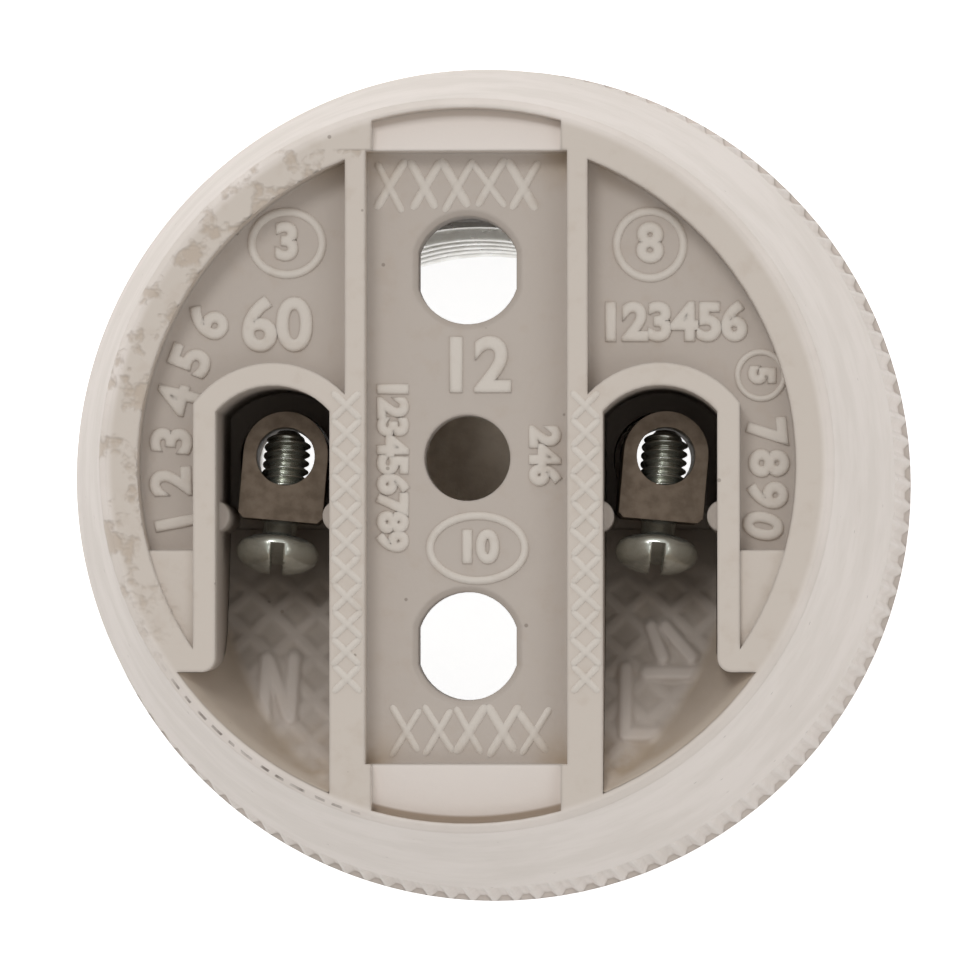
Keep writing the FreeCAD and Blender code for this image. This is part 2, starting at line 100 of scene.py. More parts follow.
# ------------------------------------------------------------------ shader helpers
class Shader:
    """A short way to write a material's nodes."""

    def __init__(self, name):
        self.material = bpy.data.materials.new(name)
        self.material.use_nodes = True
        self.tree = self.material.node_tree
        self.tree.nodes.clear()
        self.place = self.add("ShaderNodeTexCoord").outputs["Object"]

    def add(self, kind, inputs=None, **settings):
        node = self.tree.nodes.new(kind)
        for key, value in settings.items():
            setattr(node, key, value)
        for key, value in (inputs or {}).items():
            self.put(node.inputs[key], value)
        return node

    def put(self, socket, value):
        if isinstance(value, bpy.types.NodeSocket):
            self.tree.links.new(value, socket)
        elif socket.type == "RGBA" and len(value) == 3:
            socket.default_value = (*value, 1.0)
        else:
            socket.default_value = value

    def math(self, kind, a, b=0.0):
        node = self.add("ShaderNodeMath", operation=kind)
        self.put(node.inputs[0], a)
        self.put(node.inputs[1], b)
        return node.outputs[0]

    def times(self, first, *others):
        for other in others:
            first = self.math("MULTIPLY", first, other)
        return first

    def plus(self, a, b):
        return self.math("ADD", a, b)

    def minus(self, a, b):
        return self.math("SUBTRACT", a, b)

    def far(self, value, middle=0.0):
        """How far value is from middle."""
        return self.math("ABSOLUTE", self.minus(value, middle))

    def ramp(self, value, low, high, start=0.0, end=1.0):
        """Smoothly from start at low to end at high."""
        node = self.add("ShaderNodeMapRange", {
            "From Min": low, "From Max": high, "To Min": start, "To Max": end, "Value": value,
        }, interpolation_type="SMOOTHSTEP")
        return node.outputs["Result"]

    def fall(self, value, low, high):
        """Smoothly from 1 at low to 0 at high."""
        return self.ramp(value, low, high, 1.0, 0.0)

    def band(self, value, middle, half):
        """1 near middle, 0 beyond half."""
        return self.fall(self.far(value, middle), half * 0.5, half)

    def mix(self, factor, a, b):
        node = self.add("ShaderNodeMix", data_type="RGBA")
        self.put(node.inputs["Factor"], factor)
        self.put(node.inputs[6], a)
        self.put(node.inputs[7], b)
        return node.outputs[2]

    def noise(self, per_mm, detail=4.0, rough=0.55):
        node = self.add("ShaderNodeTexNoise", {
            "Vector": self.place, "Scale": per_mm / MM, "Detail": detail, "Roughness": rough,
        })
        return node.outputs["Fac"]

    def specks(self, per_mm, size):
        """1 in small round specks, 0 elsewhere."""
        node = self.add("ShaderNodeTexVoronoi", {"Vector": self.place, "Scale": per_mm / MM})
        return self.fall(node.outputs["Distance"], size * 0.6, size)

    def attribute(self, name):
        return self.add("ShaderNodeAttribute", attribute_name=name).outputs["Fac"]

    def split(self):
        node = self.add("ShaderNodeSeparateXYZ", {"Vector": self.place})
        return [self.math("DIVIDE", axis, MM) for axis in node.outputs]

    def bump(self, height, depth, strength, edge):
        """Fine relief over edges that look rounded by that radius."""
        rounded = self.add("ShaderNodeBevel", {"Radius": edge * MM}, samples=6).outputs[0]
        node = self.add("ShaderNodeBump", {
            "Strength": strength, "Distance": depth * MM, "Height": height, "Normal": rounded,
        })
        return node.outputs[0]

    def finish(self, shader):
        out = self.add("ShaderNodeOutputMaterial")
        self.tree.links.new(shader, out.inputs["Surface"])
        return self.material


def srgb(r, g, b):
    """Linear colour of an 8-bit screen colour."""
    return tuple(((c / 255 + 0.055) / 1.055) ** 2.4 for c in (r, g, b))


# ------------------------------------------------------------------ fired clay
FLANK_LIGHT = srgb(229, 220, 213)
FLANK_DARK = srgb(221, 212, 204)
# the pressed face's greyer colour is painted shade, set against the brighter-lit flank of the same clay
FACE_TOP = srgb(207, 197, 187)
# floors of the channel and pockets: partly darker pressed clay, partly painted shade of the recesses
FACE_FLOOR = srgb(191, 181, 172)
MARK_TOP = srgb(214, 206, 197)
# painted shade deep in the wells
WELL_SHADE = srgb(118, 106, 92)
CLOUD_STAIN = srgb(178, 160, 142)
# painted shade in the channel's corners
CORNER_SHADE = srgb(172, 152, 128)
# painted shadow line where the scoops meet the rim
SCOOP_SHADOW = srgb(150, 128, 104)
SPECK = srgb(104, 90, 78)
CHIP = srgb(178, 160, 141)
# painted shade at the foot of the ramp's wall
WALL_FOOT_SHADE = srgb(184, 166, 144)
PARTING_DIRT = srgb(96, 84, 74)

# Radii and heights between which the clay's look changes
FACE_END_R = (17.3, 17.7)       # the pressed face gives way to the flank
CAVITY_TOP = (34.0, 35.0)       # nothing below shows from the wiring side
FLOOR_TOP = (44.5, 45.3)        # floors below, tops of ribs and walls above
WELL_RANGE = (36.0, 43.6)       # painted shade, darker and darker downwards
CORNER_Y = (12.6, 15.4)         # painted shade in the channel's corners, from the pattern's middle
CORNER_X = (2.4, 5.0)
SCOOP_TOP = (45.75, 45.9)
SCOOP_LOW = (42.0, 43.0)
SCOOP_SIDE_X = (4.5, 4.9)
SCOOP_START_Y = (15.0, 15.15)   # from the pattern's middle
SCOOP_LINE_R = 17.45
SCOOP_LINE_HALF = 0.32
SCOOP_LINE_Z = (43.0, 43.2)
SCOOP_LINE_Y = (-15.0, 10.0)    # the line is stronger at the lower scoop
CHIP_R = 17.0
CHIP_HALF = 1.5
CHIP_Z = (44.5, 45.7)
CHIP_LEAN = 1.6                 # the chips gather towards the upper left ...
CHIP_START = (10.0, 24.0)       # ... beyond a slanting line
CHIP_DEPTH = -11.0              # against the height of the grain
PARTING_R = 17.84
PARTING_R_HALF = 0.085
PARTING_Z = (45.2, 45.5)
PARTING_MIDDLE = math.radians(-127.0)
PARTING_HALF = math.radians(24.0)
PARTING_DASHES = 112.0          # in a full turn
GRAIN_DEPTH = 0.03
GRAIN_STRENGTH = 0.45
CLAY_EDGE = 0.26                # roundness of the pressed edges
CLAY_ROUGHNESS = 0.62
CLAY_SPECULAR = 0.3


class Clay(Shader):
    """Unglazed fired clay: pale flank, a pressed face greyer with painted shade, and darker with more
    painted shade the deeper it lies.
    """

    def __init__(self, name, top=FACE_TOP, floor=FACE_FLOOR):
        super().__init__(name)
        self.x, self.y, self.z = self.split()
        square = self.plus(self.times(self.x, self.x), self.times(self.y, self.y))
        self.radius = self.math("SQRT", square)
        self.inside = self.fall(self.radius, *FACE_END_R)
        self.pressed = self.times(self.inside, self.ramp(self.z, *CAVITY_TOP))
        self.low = self.times(self.pressed, self.fall(self.z, *FLOOR_TOP))
        self.from_middle = self.far(self.y, PATTERN_Y)
        self.past_channel = self.ramp(self.from_middle, *SCOOP_START_Y)
        cloudy = self.ramp(self.noise(0.16, 3.0), 0.35, 0.65)
        self.colour = self.mix(cloudy, FLANK_DARK, FLANK_LIGHT)
        # painted shade: the pressed face greyer than the flank
        self.tint(self.pressed, top)
        # the floors darker still: partly darker clay, partly painted shade of the recesses
        self.tint(self.low, floor)

    def tint(self, share, colour):
        self.colour = self.mix(share, self.colour, colour)

    def stains_and_shade(self):
        """Painted shade darkens the wells downwards and browns the channel's corners; random clouds are
        browner stains.
        """
        # painted shade: the wells darker towards their floors
        well = self.times(self.pressed, self.fall(self.z, *WELL_RANGE))
        self.tint(self.times(well, 0.5), WELL_SHADE)
        clouds = self.ramp(self.noise(0.9, 4.0), 0.5, 0.78)
        self.tint(self.times(clouds, self.plus(self.times(self.inside, 0.14), 0.07)), CLOUD_STAIN)
        # painted shade, patchy, in the corners of the channel's floor
        channel_end = self.ramp(self.from_middle, *CORNER_Y)
        channel_side = self.ramp(self.far(self.x), *CORNER_X)
        patchy = self.ramp(self.noise(0.6, 3.0), 0.35, 0.6, 0.2, 0.75)
        self.tint(self.times(channel_end, channel_side, self.low, patchy), CORNER_SHADE)

    def scoops(self):
        """Scoops at the channel's ends, painted pale as the flank against the shade under the rim, with
        a painted shadow line along the rim.
        """
        across = self.fall(self.far(self.x), *SCOOP_SIDE_X)
        under_rim = self.fall(self.z, *SCOOP_TOP)
        panel = self.times(self.past_channel, across, under_rim, self.pressed)
        # painted light: the scoop panels lifted to the flank's pale colour against the shade under the
        # rim
        self.tint(self.times(panel, self.ramp(self.z, *SCOOP_LOW)), FLANK_LIGHT)
        # painted shadow: a brown line along the rim's foot in the scoops
        line = self.times(self.band(self.radius, SCOOP_LINE_R, SCOOP_LINE_HALF), across, under_rim)
        stronger_low = self.ramp(self.y, *SCOOP_LINE_Y, 0.75, 0.3)
        self.tint(self.times(line, stronger_low, self.ramp(self.z, *SCOOP_LINE_Z)), SCOOP_SHADOW)

    def chips(self):
        """1 where the rim's upper left edge is chipped."""
        corner = self.ramp(self.minus(self.y, self.times(self.x, CHIP_LEAN)), *CHIP_START)
        corner = self.minus(corner, self.times(corner, self.past_channel))
        edge = self.times(self.band(self.radius, CHIP_R, CHIP_HALF), self.ramp(self.z, *CHIP_Z))
        return self.times(self.ramp(self.noise(0.65, 3.0, 0.6), 0.5, 0.64), edge, corner)

    def ramp_marks(self):
        """Raised bars and letters are rubbed paler; the foot of the wall is browner with painted shade.
        """
        # painted shade: browner where the ramp meets the wall
        self.tint(self.times(self.attribute("wall_shade"), 0.45), WALL_FOOT_SHADE)
        self.tint(self.times(self.attribute("raised"), 0.34), FLANK_LIGHT)

    def parting_line(self):
        """A thin broken line along the rim's outer corner, lower left."""
        angle = self.math("ARCTAN2", self.y, self.x)
        turns = self.plus(self.times(angle, PARTING_DASHES), self.times(self.noise(0.5), 9.0))
        dash = self.ramp(self.math("SINE", turns), -0.35, 0.3)
        uneven = self.ramp(self.noise(0.8), 0.4, 0.6, 0.35, 1.0)
        arc = self.band(angle, PARTING_MIDDLE, PARTING_HALF)
        around = self.band(self.radius, PARTING_R, PARTING_R_HALF)
        line = self.times(dash, uneven, arc, around, self.ramp(self.z, *PARTING_Z))
        self.tint(self.times(line, 0.8), PARTING_DIRT)

    def fired(self):
        """Fine grain and shallow waves, calmer on the flank, with the chips sunk in."""
        chips = self.chips()
        self.tint(self.times(chips, 0.55), CHIP)
        grain = self.plus(self.noise(2.4, 4.0, 0.6), self.times(self.noise(0.7, 3.0), 2.0))
        grain = self.times(grain, self.plus(self.times(self.inside, 0.75), 0.25))
        return self.plus(grain, self.times(chips, CHIP_DEPTH))


def porcelain(name, top=FACE_TOP, floor=FACE_FLOOR, parting=False, ramp=False):
    """The clay with its stains, painted shade, specks and chips, for the body, the ramps or the raised
    marks.
    """
    s = Clay(name, top, floor)
    s.stains_and_shade()
    s.scoops()
    s.tint(s.times(s.specks(0.42, 0.05), 0.5), SPECK)
    height = s.fired()
    if ramp:
        s.ramp_marks()
    if parting:
        s.parting_line()
    bsdf = s.add("ShaderNodeBsdfPrincipled", {
        "Base Color": s.colour, "Roughness": CLAY_ROUGHNESS, "Specular IOR Level": CLAY_SPECULAR,
        "Normal": s.bump(height, GRAIN_DEPTH, GRAIN_STRENGTH, CLAY_EDGE),
    })
    return s.finish(bsdf.outputs[0])


# ------------------------------------------------------------------ metals
METAL_EDGE = 0.05
SCRATCH_STRENGTH = 0.5


def metal(name, bright, dull, rough, scratches=0.02, metallic=1.0):
    """Slightly patchy metal with fine scratches."""
    s = Shader(name)
    patina = s.ramp(s.noise(0.8, 5.0, 0.65), 0.38, 0.66)
    shine = s.ramp(s.noise(1.6, 4.0), 0.3, 0.7, rough * 0.9, rough * 1.15)
    bsdf = s.add("ShaderNodeBsdfPrincipled", {
        "Base Color": s.mix(patina, bright, dull), "Metallic": metallic, "Roughness": shine,
        "Normal": s.bump(s.noise(9.0, 3.0, 0.7), scratches, SCRATCH_STRENGTH, METAL_EDGE),
    })
    return s.finish(bsdf.outputs[0])


PORCELAIN = porcelain("porcelain", parting=True)
RAMP = porcelain("porcelain_ramp", ramp=True)
MARKS = porcelain("porcelain_marks", MARK_TOP, MARK_TOP)
SHELL_METAL = metal("shell_metal", srgb(250, 249, 246), srgb(240, 238, 233), 0.3, 0.004)
CONTACT_METAL = metal("contact_metal", srgb(228, 214, 197), srgb(220, 206, 189), 0.6, metallic=0.6)
# the terminals' dull metal, darkened further as painted shade of the wells they stand in
PILLAR_METAL_SHADED = metal("pillar_metal_shaded", srgb(124, 111, 98), srgb(118, 105, 92), 0.6, 0.012)
SCREW_METAL = metal("screw_metal", srgb(218, 221, 212), srgb(200, 203, 193), 0.23, 0.006, metallic=0.88)


def paint(node, material):
    slots = NODES[node].data.materials
    slots.clear()
    slots.append(material)


paint("porcelain_body", PORCELAIN)
paint("centre_contact", CONTACT_METAL)
paint("contact_button", CONTACT_METAL)
paint("terminal_n", PILLAR_METAL_SHADED)
paint("terminal_l", PILLAR_METAL_SHADED)


# ------------------------------------------------------------------ mesh helpers
def make_piece(name, points, faces, material, body):
    mesh = bpy.data.meshes.new(name)
    mesh.from_pydata([tuple(c * MM for c in p) for p in points], [], faces)
    mesh.validate()
    mesh.materials.append(material)
    for polygon in mesh.polygons:
        polygon.use_smooth = True
    piece = bpy.data.objects.new(name, mesh)
    bpy.context.scene.collection.objects.link(piece)
    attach(piece, body)
    return piece


def box_points(xs, ys, zs):
    return [(x, y, z) for x in xs for y in ys for z in zs]


def clamp(value):
    return max(0.0, min(1.0, value))


def smooth(t):
    return t * t * (3 - 2 * t)


class Relief:
    """Low rounded ridges on a surface, gathered into one mesh."""

    # across the ridge: place from side to side, rise
    PROFILE = (
        (-1.0, -0.3), (-0.86, 0.55), (-0.45, 0.93), (0.0, 1.0), (0.45, 0.93), (0.86, 0.55), (1.0, -0.3),
    )
    # towards an end: distance from it, share of the width, share of the height
    ENDS = ((0.0, 0.30, -0.2), (0.22, 0.72, 0.6), (0.6, 1.0, 1.0))

    def __init__(self):
        self.points = []
        self.faces = []

    def sweep(self, stations, height, closed):
        """One ridge through stations of place, direction, half width and share of the height."""
        start = len(self.points)
        n = len(self.PROFILE)
        for at, along, half, lift in stations:
            side = along.cross(UP).normalized()
            for across, rise in self.PROFILE:
                self.points.append(at + side * (across * half) + UP * (rise * lift * height))
        rounds = len(stations) if closed else len(stations) - 1
        for i in range(rounds):
            a = start + i * n
            b = start + (i + 1) % len(stations) * n
            for j in range(n - 1):
                self.faces.append((a + j, a + j + 1, b + j + 1, b + j))
        if not closed:
            last = start + (len(stations) - 1) * n
            self.faces.append(tuple(start + j for j in reversed(range(n))))
            self.faces.append(tuple(last + j for j in range(n)))

    def bar(self, a, b, width, height):
        """A straight ridge with rounded ends."""
        a = Vector(a)
        b = Vector(b)
        along = (b - a).normalized()
        stations = [(a + along * (shift * width), along, spread * width / 2, lift)
                    for shift, spread, lift in self.ENDS]
        stations += [(b - along * (shift * width), along, spread * width / 2, lift)
                     for shift, spread, lift in reversed(self.ENDS)]
        self.sweep(stations, height, closed=False)

    def loop(self, path, width, height):
        """A closed ridge."""
        stations = []
        for i, at in enumerate(path):
            along = (path[(i + 1) % len(path)] - path[i - 1]).normalized()
            stations.append((at, along, width / 2, 1.0))
        self.sweep(stations, height, closed=True)

    def make(self, name):
        make_piece(name, self.points, self.faces, MARKS, "holder")


# ------------------------------------------------------------------ crossed ridges
CROSSES = 5
CROSS_WIDTH = 0.42
CROSS_HEIGHT = 0.10
CROSS_BARS = (((0.08, 0.0), (0.98, 1.0)), ((0.92, 0.0), (0.02, 1.0)))     # in shares of one X
CROSS_SHAKE_X = 0.11
CROSS_SHAKE_Y = 0.15
CROSS_SHAKE_WIDTH = 0.09
LATTICE_PITCH = 1.34
LATTICE_HALF = 0.7
LATTICE_TOP_Y = 3.6
LATTICE_LOW_Y = -10.4
LATTICE_WIDTH = 0.36
LATTICE_HEIGHT = 0.09
LATTICE_SHAKE = 0.06
LATTICE_SEED = 40


def shaky(rng, amount):
    return rng.uniform(-amount, amount)


def cross_row(name, x0, x1, y0, y1, seed):
    """A row of Xs, pressed by hand-cut dies, across one end of the channel."""
    rng = random.Random(seed)
    relief = Relief()
    pitch = (x1 - x0) / CROSSES
    for i in range(CROSSES):
        left = x0 + i * pitch
        for bar in CROSS_BARS:
            ends = []
            for u, v in bar:
                x = left + u * pitch + shaky(rng, CROSS_SHAKE_X)
                y = y0 + v * (y1 - y0) + shaky(rng, CROSS_SHAKE_Y)
                ends.append((x, y, FACE_Z))
            relief.bar(*ends, CROSS_WIDTH + shaky(rng, CROSS_SHAKE_WIDTH), CROSS_HEIGHT)
    relief.make(name)


def rib_lattice(name, sign):
    """Two crossing zigzags along the top of a wide rib."""
    rng = random.Random(LATTICE_SEED + sign)
    relief = Relief()
    y = LATTICE_TOP_Y
    turn = 1
    while y > LATTICE_LOW_Y:
        for way in (turn, -turn):
            x0 = sign * RIB_MID_X - way * LATTICE_HALF + shaky(rng, LATTICE_SHAKE)
            x1 = sign * RIB_MID_X + way * LATTICE_HALF + shaky(rng, LATTICE_SHAKE)
            ends = (x0, y, HEIGHT), (x1, y - LATTICE_PITCH, HEIGHT)
            relief.bar(*ends, LATTICE_WIDTH, LATTICE_HEIGHT)
        y -= LATTICE_PITCH
        turn = -turn
    relief.make(name)


cross_row("cross_marks_top", -4.6, 3.55, 12.65, 15.1, 3)
cross_row("cross_marks_low", -3.85, 4.1, -14.2, -11.85, 4)
rib_lattice("rib_lattice_n", -1)
rib_lattice("rib_lattice_l", 1)

# ------------------------------------------------------------------ screwdriver ramps
RAMP_Y0 = -6.6                  # the straight ramp starts here, at the well's floor
RAMP_Z0 = 35.6
RAMP_RISE = 10.0 / 9.6
RAMP_X0 = 6.72                  # from the channel's rib ...
RAMP_WELL_X = 12.27             # ... to the well's outer wall
RAMP_UNDER_LEG = 1.0            # and this much further under the leg's rounded corner
RAMP_CORNER_Y = -9.3
RAMP_LAND_Y = -10.16            # the leg ends here and the ramp widens to the rim
RAMP_END_Y = -16.0
RAMP_EDGE_R = 17.40
RAMP_EDGE_Z = 45.86
RAMP_EDGE_LIP = 0.04
RAMP_WALL_RISE = 3.1
RAMP_TOE_Y = -3.0               # a gentle toe leads into the ramp from under the screw
RAMP_TOE_RISE = 0.36
RAMP_TOE_LIFT = 0.04
RAMP_BLEND = 0.5
WALL_BLEND = 0.35
WALL_NEAR = 0.9                 # where the marks start to fade towards the wall,
WALL_REACH = 1.1                # over how much height
WALL_FADE = 0.8                 # and how much of them is lost
RAMP_ROW = 0.085
RAMP_COLUMNS = 110

BAR_START = 1.5                 # before the straight ramp
BAR_STRETCH = 1.35              # ramp length for each mm of y
BAR_SLANT = 0.8
BAR_PITCH = 2.3
BAR_SHIFT = 0.15
BAR_HALF = 0.5
BAR_HEIGHT = 0.17
BAR_FADE = 1.5
SWELL_BACK = 1.35
STROKE_HALF = 0.44
STROKE_HEIGHT = 0.5

# Raised strokes as x0, y0, x1, y1, with x counted away from the middle
N_STROKES = ((10.2, -12.4, 10.2, -9.5), (10.1, -9.6, 8.95, -12.3), (8.85, -12.4, 8.85, -9.5))
L_STROKES = (
    (7.75, -10.0, 7.75, -13.2), (7.75, -13.2, 9.3, -13.2),                      # the letter
    (9.0, -7.9, 9.6, -9.4), (9.7, -7.9, 11.0, -9.4), (8.8, -10.2, 11.6, -10.2),  # loose ridges
)


def soft_max(a, b, blend):
    return (a + b + math.sqrt((a - b) ** 2 + blend)) / 2


def off_segment(x, y, ax, ay, bx, by):
    dx = bx - ax
    dy = by - ay
    t = clamp(((x - ax) * dx + (y - ay) * dy) / (dx * dx + dy * dy))
    return math.hypot(x - ax - t * dx, y - ay - t * dy)


def swell(off, half):
    """1 on a ridge's back, falling softly to 0 at its foot."""
    return smooth(clamp(SWELL_BACK - off / half))


def ramp_relief(x, y, strokes):
    """Height of the crossing bars and the strokes over the plain ramp."""
    run = (RAMP_Y0 + BAR_START - y) * BAR_STRETCH
    marks = 0.0
    for u in (x + run * BAR_SLANT, x - run * BAR_SLANT):
        off = abs((u / BAR_PITCH + BAR_SHIFT) % 1.0 - 0.5) * BAR_PITCH
        marks = max(marks, BAR_HEIGHT * swell(off, BAR_HALF) * clamp(run / BAR_FADE))
    for stroke in strokes:
        marks = max(marks, STROKE_HEIGHT * swell(off_segment(x, y, *stroke), STROKE_HALF))
    return marks


def ramp_surface(x, y, strokes):
    """Height of the pressed ramp, share of full relief, and nearness of the wall up to the rim."""
    straight = RAMP_Z0 + (RAMP_Y0 - y) * RAMP_RISE
    toe = RAMP_Z0 + RAMP_TOE_LIFT + (RAMP_TOE_Y - y) * RAMP_TOE_RISE
    slope = soft_max(straight, toe, RAMP_BLEND)
    wall = RAMP_EDGE_Z - (RAMP_EDGE_R - math.hypot(x, y)) * RAMP_WALL_RISE
    near_wall = clamp(WALL_NEAR - (slope - wall) / WALL_REACH)
    marks = ramp_relief(x, y, strokes) * (1.0 - near_wall * WALL_FADE)
    z = min(soft_max(slope, wall, WALL_BLEND) + marks, RAMP_EDGE_Z + RAMP_EDGE_LIP)
    return z, marks / STROKE_HEIGHT, near_wall


def ramp_patch(points, faces, sign, y0, y1, reach, strokes):
    """A grid from the channel's rib out to reach, or to the rim where that is nearer."""
    rows = max(2, int((y0 - y1) / RAMP_ROW))
    width = RAMP_COLUMNS + 1
    start = len(points)
    for i in range(rows + 1):
        y = y0 + (y1 - y0) * i / rows
        far = min(reach, math.sqrt(RAMP_EDGE_R ** 2 - y * y))
        for j in range(width):
            x = RAMP_X0 + (far - RAMP_X0) * j / RAMP_COLUMNS
            points.append((sign * x, y, *ramp_surface(x, y, strokes)))
    for i in range(rows):
        for j in range(RAMP_COLUMNS):
            a = start + i * width + j
            quad = (a, a + width, a + width + 1, a + 1)
            faces.append(quad if sign > 0 else quad[::-1])


def ramp_skin(name, sign, strokes):
    points = []
    faces = []
    under_leg = RAMP_WELL_X + RAMP_UNDER_LEG
    ramp_patch(points, faces, sign, RAMP_TOE_Y, RAMP_CORNER_Y, RAMP_WELL_X, strokes)
    ramp_patch(points, faces, sign, RAMP_CORNER_Y, RAMP_LAND_Y, under_leg, strokes)
    ramp_patch(points, faces, sign, RAMP_LAND_Y, RAMP_END_Y, RAMP_EDGE_R, strokes)
    piece = make_piece(name, [p[:3] for p in points], faces, RAMP, "holder")
    # the raised marks, and painted shade at the wall's foot
    for k, what in ((3, "raised"), (4, "wall_shade")):
        values = piece.data.attributes.new(what, "FLOAT", "POINT")
        values.data.foreach_set("value", [p[k] for p in points])


ramp_skin("ramp_n", -1, N_STROKES)
ramp_skin("ramp_l", 1, L_STROKES)

# ------------------------------------------------------------------ generic figures and rings
FIGURE_SHARE = 0.72             # height of a figure in a line of that size
FIGURE_EXTRUDE = 0.02
FIGURE_BEVEL = 0.15
FIGURE_LIFT = 0.02
RING_HEIGHT = 0.17
RING_STEPS = 40


def text_mark(name, words, x, y, height, angle=0.0):
    """Raised figures of that height, centred on x, y, in the pressed clay."""
    curve = bpy.data.curves.new(name, "FONT")
    curve.body = words
    curve.align_x = "CENTER"
    curve.align_y = "CENTER"
    curve.size = height / FIGURE_SHARE * MM
    curve.extrude = FIGURE_EXTRUDE * MM
    curve.bevel_depth = FIGURE_BEVEL * MM
    curve.bevel_resolution = 2
    curve.resolution_u = 6
    outline = bpy.data.objects.new(name + "_curve", curve)
    bpy.context.scene.collection.objects.link(outline)
    bpy.context.view_layer.update()
    mesh = bpy.data.meshes.new_from_object(outline)
    bpy.data.objects.remove(outline)
    at = Matrix.Translation(Vector((x, y, FACE_Z + FIGURE_LIFT)) * MM)
    mesh.transform(at @ Matrix.Rotation(angle, 4, "Z"))
    mesh.materials.clear()
    mesh.materials.append(MARKS)
    piece = bpy.data.objects.new(name, mesh)
    bpy.context.scene.collection.objects.link(piece)
    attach(piece, "holder")


def arc_figures(name, figures, radius, first, last, height):
    """Figures spread along the rim from one angle to another, with their feet to the middle."""
    for i, figure in enumerate(figures):
        angle = math.radians(first + (last - first) * i / (len(figures) - 1))
        x = radius * math.cos(angle)
        y = radius * math.sin(angle)
        text_mark(f"{name}_{i}", figure, x, y, height, angle - QUARTER)


def ring(name, x, y, rx, ry, width):
    """A raised oval with those half widths around x, y."""
    path = []
    for i in range(RING_STEPS):
        a = TURN * i / RING_STEPS
        path.append(Vector((x + rx * math.cos(a), y + ry * math.sin(a), FACE_Z)))
    relief = Relief()
    relief.loop(path, width, RING_HEIGHT)
    relief.make(name)


ring("ring_mark_n", -8.9, 11.0, 1.75, 1.55, 0.42)
text_mark("figure_n", "3", -8.9, 11.0, 1.7)
text_mark("figures_n", "60", -9.4, 6.85, 2.5)
arc_figures("rim_figure_n", "123456", 14.55, 191.0, 151.0, 1.9)
ring("ring_mark_l", 9.0, 10.9, 1.65, 1.65, 0.42)
text_mark("figure_l", "8", 9.0, 10.9, 1.8)
text_mark("figures_l", "123456", 10.1, 7.0, 1.75)
arc_figures("rim_figure_l", "7890", 14.75, 6.5, -11.5, 1.8)
ring("rim_ring_l", 14.45, 4.45, 1.15, 1.15, 0.3)
text_mark("rim_ring_figure_l", "5", 14.45, 4.45, 1.15, -QUARTER)
text_mark("channel_figures", "12", 0.35, 4.85, 2.6)
text_mark("channel_column_n", "123456789", -3.75, 0.05, 1.35, -QUARTER)
text_mark("channel_column_l", "246", 3.75, 0.5, 1.35, -QUARTER)
ring("channel_ring", 0.5, -4.05, 2.35, 1.6, 0.4)
text_mark("channel_ring_figures", "10", 0.5, -4.05, 1.45)

# ------------------------------------------------------------------ terminal screws
# Along the screw, its tip is at positive and its head at negative heights.
SCREW_AROUND = 48
THREAD_ROWS = 120
M_PITCH = 0.45
M_OUT = 1.16
M_IN = 0.88
M_CREST = 1.15                  # flat of the crest
M_FLANK = 2.5                   # steepness of the flanks
TIP_Z = 1.28
TIP_SHARE = 0.62                # the tip is turned down to this much of the thread,
TIP_WIDENS = 0.9                # gaining this much for each mm
TIP_FADE_Z = 1.2
TIP_FADE = 0.45
THREAD_END_Z = -3.35
THREAD_END_FADE = 0.3
AXIS_R = 0.001                  # closes the ends
HEAD_PROFILE = (
    (0.9, -3.42), (0.86, -3.6), (0.86, -4.1), (0.92, -4.26), (1.3, -4.36), (1.7, -4.46),
    (1.92, -4.6), (2.03, -4.8), (2.06, -5.0), (2.02, -5.2), (1.9, -5.4), (1.7, -5.58),
    (1.4, -5.73), (1.0, -5.84), (0.5, -5.89), (AXIS_R, -5.9),
)
SLOT_HALF = 0.31
SLOT_REACH = 3.0
SLOT_FLOOR_Z = -5.0
SLOT_OUT_Z = -7.0


def screw_matrix(sign):
    """From the screw's own axis to its place in the leaning terminal."""
    pivot = Matrix.Translation((0, 0, TERM_PIVOT_Z))
    place = Matrix.Translation((sign * TERM_X, TERM_Y, 0)) @ pivot
    place = place @ Matrix.Rotation(TERM_LEAN, 4, "Y") @ pivot.inverted()
    place = place @ Matrix.Rotation(-TERM_TURN, 4, "Z") @ Matrix.Translation((0, 0, SCREW_Z))
    return place @ Matrix.Rotation(-SCREW_TILT, 4, "X") @ Matrix.Rotation(-QUARTER, 4, "X")


def thread_radius(z, angle):
    """V thread with a flat crest, faded at the tip and towards the neck."""
    phase = (z / M_PITCH - angle / TURN) % 1.0
    tooth = clamp(M_CREST - abs(phase - 0.5) * M_FLANK)
    fade = clamp((TIP_FADE_Z - z) / TIP_FADE) * clamp((z - THREAD_END_Z) / THREAD_END_FADE)
    taper = min(1.0, TIP_SHARE + max(0.0, TIP_Z - z) * TIP_WIDENS)
    return (M_IN + (M_OUT - M_IN) * tooth * fade) * taper


def screw_points():
    angles = [TURN * j / SCREW_AROUND for j in range(SCREW_AROUND)]
    rows = [(TIP_Z, [AXIS_R] * SCREW_AROUND)]
    for i in range(THREAD_ROWS + 1):
        z = TIP_Z - (TIP_Z - THREAD_END_Z) * i / THREAD_ROWS
        rows.append((z, [thread_radius(z, a) for a in angles]))
    rows += [(z, [r] * SCREW_AROUND) for r, z in HEAD_PROFILE]
    return [Vector((r * math.cos(a), r * math.sin(a), z))
            for z, radii in rows for r, a in zip(radii, angles)]


def screw_faces(count):
    around = SCREW_AROUND
    last = count - around
    faces = []
    for i in range(0, last, around):
        for j in range(around):
            k = (j + 1) % around
            faces.append((i + j, i + around + j, i + around + k, i + k))
    faces.append(tuple(range(around)))
    faces.append(tuple(last + j for j in reversed(range(around))))
    return faces


